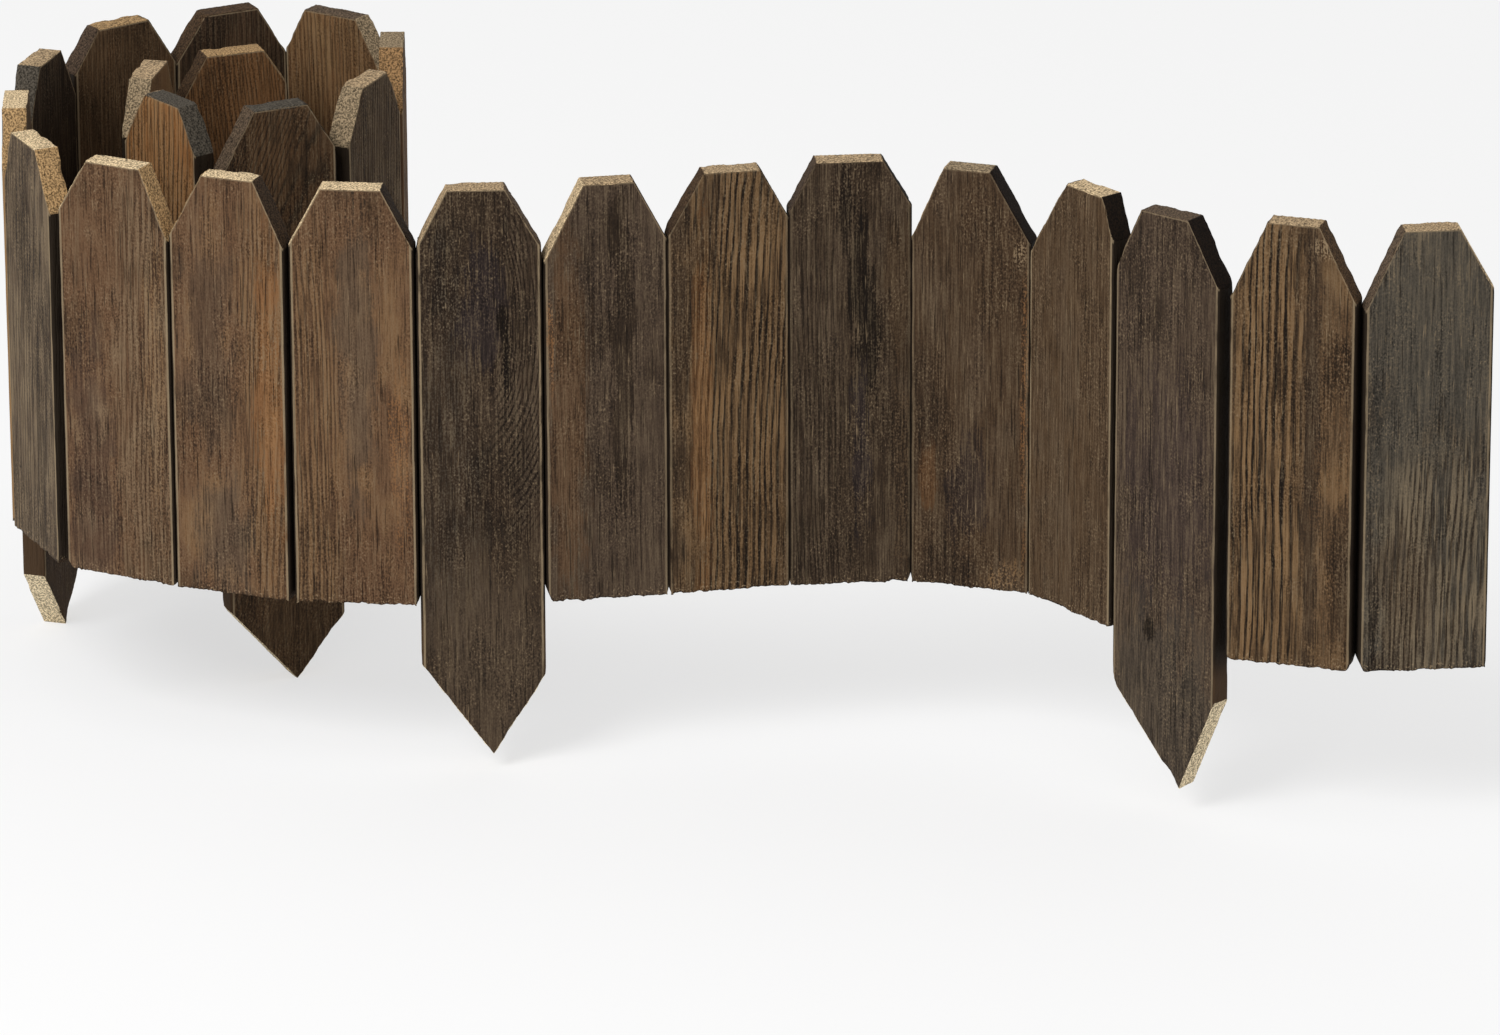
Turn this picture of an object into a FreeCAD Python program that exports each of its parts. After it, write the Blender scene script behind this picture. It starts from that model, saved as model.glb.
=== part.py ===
import FreeCAD, Part
import math
import os
from collections import namedtuple

import Sketcher
from FreeCAD import Placement, Rotation, Vector

# Roll-up picket border in charred wood.
# Dog-eared boards stand on the soil line, every sixth one is a stake with a
# long point below it, and two wires stapled across the backs let the row bend.
# The row is half unrolled: a coil at the left, an S-curve to the right.
# Millimetres, Z up, soil line at zero, the seen faces of the row towards -Y.

# Driving sizes: alias, value, meaning
DRIVING_SIZES = (
    ("picket_width", 89, "face width of a board"),
    ("picket_thickness", 18.5, "thickness of a board"),
    ("picket_height", 322, "soil line to the flat top of a usual board"),
    ("edge_round", 2.2, "radius worn on the four long edges"),
    ("ear_drop", 41, "height of a usual slanting ear"),
    ("ear_cut", 22, "width that a usual ear takes off the top"),
    ("stake_shoulder", 57, "soil line down to where a usual stake tapers"),
    ("stake_depth", 120, "soil line down to the tip of a usual stake"),
    ("tip_offset", 7, "how far a usual tip lies off the middle"),
    ("tip_round", 2.5, "radius on the tip"),
    ("hinge_gap", 1, "usual space between two backs"),
    ("front_clearance", 0.6, "least space between two fronts that fold forward"),
    ("wire_radius", 0.9, "radius of the galvanised wire"),
    ("wire_seat", 0.2, "clearance between wire and wood"),
    ("upper_wire_height", 200, "soil line to the upper wire"),
    ("lower_wire_height", 85, "soil line to the lower wire"),
    ("wire_end", 12, "free edge of an end board to the cut end of a wire"),
    ("staple_wire", 1.2, "section of the flat staple wire"),
    ("staple_inset", 18, "edge of a board to the middle of a staple"),
    ("staple_room", 0.3, "clearance between a staple and the wire in it"),
)

# One entry a board, from the inner end of the coil to the free end.
# turn: degrees from the board before, positive folds the backs together.
# taller, ears and cuts: what is added to the usual board, left then right
# as the weather face is looked at with the inner end on the left.
# looser: what is added to the usual gap before the board.
Board = namedtuple("Board", "turn taller ears cuts looser", defaults=((0, 0), (0, 0), 0))
BOARDS = (
    Board(0, -13, (-12, 0), (-3, 2)),
    Board(58, -7, (0, -3), (-2, 0)),
    Board(50, -1, (0, -9), (3, -3)),
    Board(77, -1, (0, -5), (1, 0)),
    Board(42, -2, (-7, -3), (1, -1), 1),
    Board(23, 0, (0, 0), (2, 2)),
    Board(57, -2, (0, -7), (1, -4)),
    Board(59, -1, (-6, -7), (-1, 2)),
    Board(9, 4, (-4, -10), (1, -1)),
    Board(37, 0, (0, -4), (4, -3)),
    Board(19, -5, (0, 0), (-1, 1)),
    Board(24, -8, (-3, 0), (-5, 2)),
    Board(38, -3, (-3, 10), (0, -1)),
    Board(6, -1, (6, 7), (3, 0)),
    Board(15, -3, (0, 2), (0, 0)),
    Board(9, -3, (0, 3), (-1, 3)),
    Board(7, -2, (14, 3), (6, 1)),
    Board(1, 1, (5, -4), (4, -2)),
    Board(-6, 4, (-5, -7), (-3, -2)),
    Board(-23, 0, (12, 10), (1, 8)),
    Board(-33, 4, (18, -12), (15, -11)),
    Board(12, 3, (1, 4), (-2, 5), 1),
    Board(21, 12, (10, 13), (1, 5), 5),
    Board(24, 11, (10, 4), (1, 3), 2),
)

# Stakes by their number in the row: what is added to the usual stake.
Stake = namedtuple("Stake", "shoulders deeper offset")
STAKES = {
    4: Stake((17, 28), 12, -2),
    10: Stake((13, 22), 11, -2),
    16: Stake((-8, 1), -1, -1),
    22: Stake((-15, -17), -9, 8),
}

FIRST_HEADING = 200  # degrees from +X, for the innermost board
HOME_BOARD = "picket_17"  # the origin is the middle of this board's foot
TOLERANCE = 1e-6  # length below which two points are one

doc = FreeCAD.newDocument("picket_border")
sheet = doc.addObject("Spreadsheet::Sheet", "Sizes")
for row, (alias, value, meaning) in enumerate(DRIVING_SIZES, start=1):
    sheet.set(f"A{row}", meaning)
    sheet.set(f"B{row}", str(value))
    sheet.setAlias(f"B{row}", alias)
doc.recompute()


def size(alias):
    """Value of a driving size, for the geometry that code lays out."""
    return float(sheet.get(alias))


def label_of(number):
    """Name of a board, which is also the name of its file."""
    kind = "stake_picket" if number in STAKES else "picket"
    return f"{kind}_{number:02d}"


# Layout of the row in plan
Place = namedtuple("Place", "middle heading")


def along(heading):
    """Direction in which the row runs along a board, seen from above."""
    return Vector(math.cos(math.radians(heading)), math.sin(math.radians(heading)), 0)


def back_gap(board):
    """Space before a board's back: wider where the fronts fold together."""
    half_turn = math.radians(board.turn) / 2
    folded = size("front_clearance") - 2 * size("picket_thickness") * math.sin(half_turn)
    return max(size("hinge_gap") + board.looser, folded / math.cos(half_turn))


def row_places():
    """Middle of each back's foot and each heading, with the home board at zero."""
    places = []
    corner = Vector(0, 0, 0)
    heading = FIRST_HEADING
    for board in BOARDS:
        half_gap = back_gap(board) / 2
        corner = corner + along(heading) * half_gap
        heading += board.turn
        corner = corner + along(heading) * half_gap
        middle = corner + along(heading) * (size("picket_width") / 2)
        places.append(Place(middle, heading))
        corner = middle + along(heading) * (size("picket_width") / 2)
    home = next(place for number, place in enumerate(places, start=1) if label_of(number) == HOME_BOARD)
    outward = along(home.heading - 90)
    origin = home.middle + outward * (size("picket_thickness") / 2)
    return [Place(place.middle - origin, place.heading) for place in places]


# Boards
def origin_plane(body, role):
    """Origin plane of a body, found by its role."""
    return next(plane for plane in body.Origin.OriginFeatures if plane.Role == role)


def closed_outline(sketch, corners):
    """Draw straight lines through the corners and join them end to start."""
    count = len(corners)
    for index in range(count):
        start = Vector(*corners[index], 0)
        end = Vector(*corners[(index + 1) % count], 0)
        sketch.addGeometry(Part.LineSegment(start, end))
    for index in range(count):
        following = (index + 1) % count
        sketch.addConstraint(Sketcher.Constraint("Coincident", index, 2, following, 1))


def bind(sketch, name, expression, kind, *references):
    """Add a named dimension and tie it to the sheet."""
    sketch.addConstraint(Sketcher.Constraint(kind, *references, 1.0))
    index = sketch.ConstraintCount - 1
    sketch.renameConstraint(index, name)
    sketch.setExpression(f"Constraints.{name}", expression)


def outline_sketch(body, number):
    """Front view of a board: foot or point, sides, ears and flat top."""
    board = BOARDS[number - 1]
    stake = STAKES.get(number)
    sketch = body.newObject("Sketcher::SketchObject", f"Outline_{number:02d}")
    sketch.AttachmentSupport = (origin_plane(body, "XZ_Plane"), [""])
    sketch.MapMode = "FlatFace"
    half = size("picket_width") / 2
    top = size("picket_height") + board.taller
    left_ear, right_ear = (top - size("ear_drop") - extra for extra in board.ears)
    left_cut, right_cut = (half - size("ear_cut") - extra for extra in board.cuts)
    if stake:
        left_foot, right_foot = (-size("stake_shoulder") - extra for extra in stake.shoulders)
        tip = [(size("tip_offset") + stake.offset, -size("stake_depth") - stake.deeper)]
    else:
        left_foot = right_foot = 0
        tip = []
    corners = tip + [(half, right_foot), (half, right_ear), (right_cut, top)]
    corners += [(-left_cut, top), (-half, left_ear), (-half, left_foot)]
    closed_outline(sketch, corners)

    first = len(tip)
    right_side, right_slope, top_edge, left_slope, left_side = range(first, first + 5)
    last_edge = len(corners) - 1
    sketch.addConstraint(Sketcher.Constraint("Vertical", right_side))
    sketch.addConstraint(Sketcher.Constraint("Vertical", left_side))
    sketch.addConstraint(Sketcher.Constraint("Horizontal", top_edge))
    bind(sketch, "HalfWidth", "Sizes.picket_width / 2", "DistanceX", -1, 1, right_side, 1)
    bind(sketch, "Width", "Sizes.picket_width", "DistanceX", left_side, 2, right_side, 1)
    height = f"Sizes.picket_height + {board.taller}"
    bind(sketch, "Height", height, "DistanceY", -1, 1, top_edge, 1)
    for side, slope, end, start, extra in (
        ("Right", right_slope, 2, 1, board.ears[1]),
        ("Left", left_slope, 1, 2, board.ears[0]),
    ):
        drop = f"Sizes.ear_drop + {extra}"
        bind(sketch, f"{side}Ear", drop, "DistanceY", slope, start, slope, end)
    right_width = f"Sizes.ear_cut + {board.cuts[1]}"
    left_width = f"Sizes.ear_cut + {board.cuts[0]}"
    bind(sketch, "RightCut", right_width, "DistanceX", right_slope, 2, right_slope, 1)
    bind(sketch, "LeftCut", left_width, "DistanceX", left_slope, 2, left_slope, 1)
    if stake:
        left, right = (f"Sizes.stake_shoulder + {extra}" for extra in stake.shoulders)
        bind(sketch, "RightShoulder", right, "DistanceY", right_side, 1, -1, 1)
        bind(sketch, "LeftShoulder", left, "DistanceY", left_side, 2, -1, 1)
        depth = f"Sizes.stake_depth + {stake.deeper}"
        bind(sketch, "Depth", depth, "DistanceY", 0, 1, -1, 1)
        offset = f"Sizes.tip_offset + {stake.offset}"
        bind(sketch, "TipOffset", offset, "DistanceX", -1, 1, 0, 1)
    else:
        sketch.addConstraint(Sketcher.Constraint("Horizontal", last_edge))
        sketch.addConstraint(Sketcher.Constraint("PointOnObject", right_side, 1, -1))
    return sketch


def edge_names(shape, wanted):
    """Names of the edges of a shape for which the test holds."""
    return [f"Edge{index}" for index, edge in enumerate(shape.Edges, start=1) if wanted(edge)]


def is_upright(edge):
    """A long edge of a board runs straight up."""
    direction = edge.Vertexes[1].Point - edge.Vertexes[0].Point
    return abs(direction.x) < TOLERANCE and abs(direction.y) < TOLERANCE


def tip_edges(stake):
    """Names of the edges that lie at a stake's lowest point."""
    bottom = stake.BoundBox.ZMin + TOLERANCE
    return edge_names(stake, lambda edge: all(end.Z < bottom for end in edge.Vertexes))


def make_board(number, place):
    """A board: its outline padded from the back to the weather face, edges worn."""
    body = doc.addObject("PartDesign::Body", f"Board_{number:02d}")
    body.Label = label_of(number)
    sketch = outline_sketch(body, number)
    pad = body.newObject("PartDesign::Pad", f"Pad_{number:02d}")
    pad.Profile = sketch
    pad.setExpression("Length", "Sizes.picket_thickness")
    doc.recompute()
    worn = body.newObject("PartDesign::Fillet", f"WornEdges_{number:02d}")
    worn.Base = (pad, edge_names(pad.Shape, is_upright))
    worn.setExpression("Radius", "Sizes.edge_round")
    doc.recompute()
    if number in STAKES:
        blunt = body.newObject("PartDesign::Fillet", f"Tip_{number:02d}")
        blunt.Base = (worn, tip_edges(worn.Shape))
        blunt.setExpression("Radius", "Sizes.tip_round")
    body.Placement = Placement(place.middle, Rotation(Vector(0, 0, 1), place.heading))
    return body


# Wires
def wire_route(places, height):
    """Corner points of a wire: just behind each back, with a turn in each gap."""
    standoff = size("wire_radius") + size("wire_seat")
    reach = size("picket_width") / 2 - size("wire_end")
    points = []
    for index, place in enumerate(places):
        inward = along(place.heading + 90)
        behind = place.middle + inward * standoff + Vector(0, 0, height)
        if index == 0:
            points.append(behind - along(place.heading) * reach)
        if index == len(places) - 1:
            points.append(behind + along(place.heading) * reach)
            break
        following = BOARDS[index + 1]
        past_edge = size("picket_width") / 2 + back_gap(following) / 2
        past_edge -= standoff * math.tan(math.radians(following.turn) / 2)
        points.append(behind + along(place.heading) * past_edge)
    return points


def make_wire(label, height_alias, places):
    """A wire swept in one length along its path, with a sharp bend in each gap."""
    points = wire_route(places, size(height_alias))
    path = doc.addObject("Part::Feature", f"{label}_path")
    path.Shape = Part.makePolygon(points)
    section = doc.addObject("Part::Circle", f"{label}_section")
    section.setExpression("Radius", "Sizes.wire_radius")
    section.Placement = Placement(points[0], Rotation(Vector(0, 0, 1), points[1] - points[0]))
    wire = doc.addObject("Part::Sweep", label)
    wire.Label = label
    wire.Sections = [section]
    wire.Spine = (path, [f"Edge{index}" for index in range(1, len(path.Shape.Edges) + 1)])
    wire.Solid = True
    wire.Transition = "Right corner"
    return wire


# Staples
def staple_shape():
    """A flat U over the wire, its legs ending on the wood, the wire along X."""
    gauge = size("staple_wire")
    half_room = size("wire_radius") + size("staple_room")
    crown = size("wire_seat") + 2 * size("wire_radius") + size("staple_room")
    outer = half_room + gauge
    outline = (
        Vector(0, 0, -outer),
        Vector(0, crown + gauge / 2, -outer),
        Vector(0, crown + gauge, -outer + gauge / 2),
        Vector(0, crown + gauge, outer - gauge / 2),
        Vector(0, crown + gauge / 2, outer),
        Vector(0, 0, outer),
        Vector(0, 0, half_room),
        Vector(0, crown, half_room),
        Vector(0, crown, -half_room),
        Vector(0, 0, -half_room),
    )
    face = Part.Face(Part.makePolygon(outline + outline[:1]))
    staple = face.extrude(Vector(gauge, 0, 0))
    staple.translate(Vector(-gauge / 2, 0, 0))
    return staple


def make_staples(label, height_alias, places):
    """Two staples a board over one wire, near the board's edges."""
    reach = size("picket_width") / 2 - size("staple_inset")
    pieces = []
    for place in places:
        for side in (-1, 1):
            staple = staple_shape()
            foot = place.middle + along(place.heading) * (side * reach)
            foot.z = size(height_alias)
            staple.Placement = Placement(foot, Rotation(Vector(0, 0, 1), place.heading)) * staple.Placement
            pieces.append(staple)
    staples = doc.addObject("Part::Feature", label)
    staples.Label = label
    staples.Shape = Part.Compound(pieces)
    return staples


# The whole border
places = row_places()
parts = [make_board(number, place) for number, place in enumerate(places, start=1)]
for level in ("upper", "lower"):
    parts.append(make_wire(f"{level}_wire", f"{level}_wire_height", places))
    parts.append(make_staples(f"{level}_staples", f"{level}_wire_height", places))
doc.recompute()

# Checks before anything is written
for item in doc.Objects:
    if "Invalid" in item.State or "Error" in item.State:
        raise RuntimeError(f"{item.Label} did not build: {item.State}")
for part in parts:
    if part.Shape.isNull() or not part.Shape.isValid():
        raise RuntimeError(f"{part.Label} has no sound shape")
for level in ("upper", "lower"):
    wire = doc.getObject(f"{level}_wire")
    length = doc.getObject(f"{level}_wire_path").Shape.Length
    expected = math.pi * size("wire_radius") ** 2 * length
    if abs(wire.Shape.Volume / expected - 1) > 0.01:
        raise RuntimeError(f"{wire.Label} has the wrong volume")

os.makedirs("parts", exist_ok=True)
for part in parts:
    part.Shape.exportStep(f"parts/{part.Label}.step")
    print(part.Label, len(part.Shape.Solids), round(part.Shape.Volume))
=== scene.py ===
# %% [markdown]
# A roll-up picket border, half unrolled. 24 dog-eared boards of charred and brushed softwood stand in
# a row, and every sixth one is a stake with a long point. Two galvanised wires are stapled across the
# backs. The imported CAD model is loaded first: it says where each board stands and how it was sawn, and
# the boards here are sawn again from the same faces, with the grain, wear and colour that CAD leaves out.

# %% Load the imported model
import math
import random
from collections import namedtuple

import bpy
import numpy as np
from mathutils import Matrix, Vector, noise


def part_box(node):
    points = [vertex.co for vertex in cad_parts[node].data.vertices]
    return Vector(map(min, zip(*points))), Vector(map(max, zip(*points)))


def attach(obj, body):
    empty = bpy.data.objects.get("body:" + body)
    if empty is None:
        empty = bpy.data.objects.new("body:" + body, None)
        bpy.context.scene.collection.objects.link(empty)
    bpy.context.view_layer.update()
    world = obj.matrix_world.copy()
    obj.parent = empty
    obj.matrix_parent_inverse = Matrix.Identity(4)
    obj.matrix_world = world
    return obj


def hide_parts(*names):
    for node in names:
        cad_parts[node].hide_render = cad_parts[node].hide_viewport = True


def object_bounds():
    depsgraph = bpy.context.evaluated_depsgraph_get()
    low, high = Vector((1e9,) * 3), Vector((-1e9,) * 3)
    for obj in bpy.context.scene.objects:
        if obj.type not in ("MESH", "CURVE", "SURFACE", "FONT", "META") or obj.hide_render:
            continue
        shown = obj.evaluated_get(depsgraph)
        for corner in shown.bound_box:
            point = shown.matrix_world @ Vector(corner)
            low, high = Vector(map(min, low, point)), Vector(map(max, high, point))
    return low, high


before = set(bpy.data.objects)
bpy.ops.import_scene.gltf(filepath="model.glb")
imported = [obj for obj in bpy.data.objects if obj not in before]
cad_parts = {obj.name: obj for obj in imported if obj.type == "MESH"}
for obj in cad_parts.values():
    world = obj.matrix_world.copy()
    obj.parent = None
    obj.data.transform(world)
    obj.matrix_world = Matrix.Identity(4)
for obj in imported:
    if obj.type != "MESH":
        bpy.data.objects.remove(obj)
cad_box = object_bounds()
scene = bpy.context.scene
scene.view_settings.view_transform = "Standard"
MM = 0.001
print("nodes:", len(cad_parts))
print("box:", [tuple(round(value, 4) for value in corner) for corner in cad_box])

# %% [markdown]
# The photograph was taken from far off with a long lens, looking down at about 20 degrees. So the
# camera gets that lens, and the board sizes look almost the same at the front and at the back. It is
# turned by three turns in a row: round the upright axis, then down, then a trace of roll on its own axis.

# %% Camera
CAMERA_PLACE = Vector((0.0741, -6.8733, 2.5845))
CAMERA_LENS = 240.25
LOOKING_DOWN = 20.174
LOOKING_LEFT = -0.259
CAMERA_ROLL = -0.209

camera = bpy.data.objects.new("camera", bpy.data.cameras.new("camera"))
scene.collection.objects.link(camera)
camera.data.lens = CAMERA_LENS
camera.data.sensor_width = 36
camera.matrix_world = (
    Matrix.Translation(CAMERA_PLACE)
    @ Matrix.Rotation(math.radians(LOOKING_LEFT), 4, "Z")
    @ Matrix.Rotation(math.radians(90 - LOOKING_DOWN), 4, "X")
    @ Matrix.Rotation(math.radians(CAMERA_ROLL), 4, "Z")
)
scene.camera = camera
print("camera", round(CAMERA_PLACE.length, 2), "m from the row's origin")

# %% [markdown]
# Shader maths is easier to read as a formula than as a picture of nodes. This class wraps one socket.
# An operator on it adds the Math node that does the sum, so `1 - mask` is one node, and `node` adds any
# other node from its type, its settings and what goes into its sockets.


# %% Formulas for materials
class Socket:
    """A value, colour or vector on its way through a material's nodes."""

    def __init__(self, tree, source=None):
        self.tree = tree
        self.source = source

    def node(self, kind, settings=None, sockets=None, output=0):
        """Add a node and return one of its outputs."""
        made = self.tree.nodes.new(kind)
        for name, value in (settings or {}).items():
            setattr(made, name, value)
        for name, value in (sockets or {}).items():
            if isinstance(value, Socket):
                self.tree.links.new(value.source, made.inputs[name])
            else:
                made.inputs[name].default_value = value
        return Socket(self.tree, made.outputs[output])

    def maths(self, operation, *values):
        return self.node("ShaderNodeMath", {"operation": operation}, dict(enumerate(values)))

    def __add__(self, other):
        return self.maths("ADD", self, other)

    def __sub__(self, other):
        return self.maths("SUBTRACT", self, other)

    def __rsub__(self, other):
        return self.maths("SUBTRACT", other, self)

    def __mul__(self, other):
        return self.maths("MULTIPLY", self, other)

    def __truediv__(self, other):
        return self.maths("DIVIDE", self, other)

    __radd__ = __add__
    __rmul__ = __mul__

    def over(self, other):
        """The larger of two values."""
        return self.maths("MAXIMUM", self, other)

    def under(self, other):
        """The smaller of two values."""
        return self.maths("MINIMUM", self, other)

    def size(self):
        """The value without its sign."""
        return self.maths("ABSOLUTE", self)

    def length_with(self, other):
        """The long side of a right triangle with these two sides."""
        return self.maths("SQRT", self * self + other * other)

    def rise(self, low, high):
        """0 below one value, 1 past the other, and smooth between them."""
        limits = {"Value": self, "From Min": low, "From Max": high}
        return self.node("ShaderNodeMapRange", {"interpolation_type": "SMOOTHSTEP"}, limits)

    def part(self, axis):
        """One number of a vector."""
        return self.node("ShaderNodeSeparateXYZ", None, {"Vector": self}, axis)

    def cloud(self, across, tall, detail=3, salt=0):
        """Noise around 0.5, with lumps of this size in the unit of the vector."""
        scale = (1 / across, 1 / across, 1 / tall)
        sockets = {"Vector": self, "Location": (salt, 0, salt), "Scale": scale}
        moved = self.node("ShaderNodeMapping", None, sockets)
        return self.node("ShaderNodeTexNoise", None, {"Vector": moved, "Scale": 1, "Detail": detail})

    def tinted(self, share, colour):
        """This colour with a share of another one over it."""
        sockets = {0: share, 6: self, 7: colour}
        return self.node("ShaderNodeMix", {"data_type": "RGBA"}, sockets, 2)

    def shaded(self, light):
        """This colour made darker or lighter by a value."""
        grey = light if isinstance(light, Socket) else (light, light, light, 1)
        sockets = {0: 1, 6: self, 7: grey}
        return self.node("ShaderNodeMix", {"data_type": "RGBA", "blend_type": "MULTIPLY"}, sockets, 2)


def new_material(name):
    """An empty material, and a Socket that adds nodes to it."""
    material = bpy.data.materials.new(name)
    material.use_nodes = True
    material.node_tree.nodes.clear()
    return material, Socket(material.node_tree)


def surface(tree, colour, roughness, specular, height=None, relief=1.0, metallic=0.0):
    """The shader at the end: colour, gloss and a bump of this height in metres."""
    sockets = {"Base Color": colour, "Roughness": roughness, "Metallic": metallic}
    sockets["Specular IOR Level"] = specular
    if height is not None:
        sockets["Normal"] = tree.node("ShaderNodeBump", None, {"Height": height, "Distance": relief})
    finish(tree, tree.node("ShaderNodeBsdfPrincipled", None, sockets), "ShaderNodeOutputMaterial")


def finish(tree, shader, kind):
    """Join a shader to the output of its material or world."""
    output = tree.tree.nodes.new(kind)
    tree.tree.links.new(shader.source, output.inputs["Surface"])


print("formulas ready")

# %% [markdown]
# The object is shown as in a catalogue: on white, in soft even light with a little more of it from the
# upper left. The floor lies under the tips of the stakes. For the camera it is partly a white card that
# glows at strength 1, so it looks white and still keeps the shadow that the boards throw.

# %% Floor, lamp and world
PAPER = (0.93, 0.93, 0.93, 1)
WHITE = (1, 1, 1, 1)
WHITE_CARD = 0.6
WORLD_LIGHT = 0.62
FLOOR_SIDE = 60
LAMP_PLACE = Vector((-2.6, -3.2, 4.2))
LAMP_AIM = Vector((0.1, 0, 0.1))
LAMP_WIDTH = 2.4
LAMP_POWER = 190


def seen_directly(tree):
    """1 for rays that show the background: from the camera, in a reflection or through glass."""
    kinds = ("Camera", "Glossy", "Transmission")
    rays = [tree.node("ShaderNodeLightPath", None, None, f"Is {kind} Ray") for kind in kinds]
    return rays[0].over(rays[1]).over(rays[2])


bpy.ops.object.select_all(action="DESELECT")
bpy.ops.mesh.primitive_plane_add(size=FLOOR_SIDE, location=(0, 0, cad_box[0].z))
floor = bpy.context.object
floor.name = "floor"
bpy.ops.object.transform_apply(location=True)
floor_material, tree = new_material("pale_floor")
paper = tree.node("ShaderNodeBsdfDiffuse", None, {"Color": PAPER})
card = tree.node("ShaderNodeEmission", None, {"Color": WHITE, "Strength": 1})
share = seen_directly(tree) * WHITE_CARD
glowing_paper = tree.node("ShaderNodeMixShader", None, {0: share, 1: paper, 2: card})
finish(tree, glowing_paper, "ShaderNodeOutputMaterial")
floor.data.materials.append(floor_material)

world = bpy.data.worlds.new("white_studio")
scene.world = world
world.use_nodes = True
world.node_tree.nodes.clear()
tree = Socket(world.node_tree)
strength = WORLD_LIGHT + seen_directly(tree) * (1 - WORLD_LIGHT)
sky = tree.node("ShaderNodeBackground", None, {"Color": WHITE, "Strength": strength})
finish(tree, sky, "ShaderNodeOutputWorld")

lamp = bpy.data.objects.new("soft_box", bpy.data.lights.new("soft_box", "AREA"))
scene.collection.objects.link(lamp)
lamp.data.size = LAMP_WIDTH
lamp.data.energy = LAMP_POWER
lamp.location = LAMP_PLACE
lamp.rotation_euler = (LAMP_AIM - LAMP_PLACE).to_track_quat("-Z", "Y").to_euler()
print("floor at", round(cad_box[0].z, 4))

# %% [markdown]
# Every board is read from its CAD node. The largest face says which way the board looks, and the wire
# says which side is the back. All faces that aren't upright were sawn, so each one gives a saw cut: the
# top, the two ears, and the foot or the slopes of a point. Lengths on a board are in millimetres: x runs
# along its width, y from the weather face (negative) to the back (zero), z up from the soil line.

# %% Read the boards
SawCut = namedtuple("SawCut", "point normal")
Board = namedtuple("Board", "name number middle along outward left right thick top cuts")
# A face is upright if its normal rises less than the first of these, and level if more than the second.
UPRIGHT_LIMIT = 0.1
LEVEL_LIMIT = 0.9
SMALLEST_CUT = 2e-5


def is_sawn(face):
    """Only the faces that aren't upright were sawn."""
    return abs(face.normal.z) > UPRIGHT_LIMIT


def side_of_wire(node, normal):
    """The same normal, turned away from the upper wire."""
    centre = sum(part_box(node.name), Vector()) / 2
    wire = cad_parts["upper_wire"].data.vertices
    nearest = min((vertex.co for vertex in wire), key=lambda place: (place - centre).xy.length)
    return -normal if (nearest - centre).dot(normal) > 0 else normal


def read_board(node):
    """A board's place, size and saw cuts from its CAD node."""
    corners = [vertex.co for vertex in node.data.vertices]
    widest = max(node.data.polygons, key=lambda face: face.area)
    outward = side_of_wire(node, Vector((widest.normal.x, widest.normal.y, 0)).normalized())
    along = Vector((-outward.y, outward.x, 0))
    across = [corner.dot(along) for corner in corners]
    depths = [corner.dot(outward) for corner in corners]
    middle = along * (min(across) + max(across)) / 2 + outward * min(depths)
    cuts = {}
    for face in sorted(node.data.polygons, key=lambda face: -face.area):
        if not is_sawn(face) or face.area < SMALLEST_CUT:
            continue
        normal = Vector((face.normal.dot(along), 0, face.normal.z)).normalized()
        key = (round(normal.x, 1), round(normal.z, 1))
        if key not in cuts:
            local = node.data.vertices[face.vertices[0]].co - middle
            cuts[key] = SawCut(Vector((local.dot(along), 0, local.z)) / MM, normal)
    half = (max(across) - min(across)) / 2 / MM
    thick = (max(depths) - min(depths)) / MM
    top = max(corner.z for corner in corners) / MM
    number = int(node.name[-2:])
    return Board(node.name, number, middle, along, outward, -half, half, thick, top, list(cuts.values()))


boards = [read_board(node) for name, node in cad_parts.items() if "picket" in name]
boards.sort(key=lambda board: board.number)
for board in boards:
    print(board.name, "top", round(board.top, 1), "saw cuts", len(board.cuts))

# %% [markdown]
# The real wires pull the boards together until their edges touch: at the back where the row bends
# towards its back, and at the front where it bends forward. No daylight comes through. The solids keep a
# little clear of each other there, so each board is made wider here until it just presses on the next.
# It grows by a few millimetres at most, so that the widest gap stays a dark slot, as in the photograph.

# %% Close the gaps
EDGE_ROUND = 2.2
PRESSED = 0.5
EQUAL_SHARE = 0.6
MOST_WIDER = 3.6


def clear_width(board, following):
    """How far apart the rounded edges of two boards are where they come closest."""
    half_turn = board.along.angle(following.along) / 2
    rounding = EDGE_ROUND * (math.cos(half_turn) + math.sin(half_turn) - 1)
    right_back = board.middle + board.along * board.right * MM
    left_back = following.middle + following.along * following.left * MM
    backs = left_back - right_back
    fronts = backs + (following.outward - board.outward) * board.thick * MM
    return (min(backs.length, fronts.length) / MM + 2 * rounding) / math.cos(half_turn)


for index, (board, following) in enumerate(zip(boards, boards[1:])):
    width = clear_width(board, following) + PRESSED
    share = min(width / 2, EQUAL_SHARE)
    boards[index] = board._replace(right=board.right + share)
    boards[index + 1] = following._replace(left=following.left - min(width - share, MOST_WIDER))
    print(board.name, "and", following.name, "were", round(width - PRESSED, 1), "mm apart")
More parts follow.
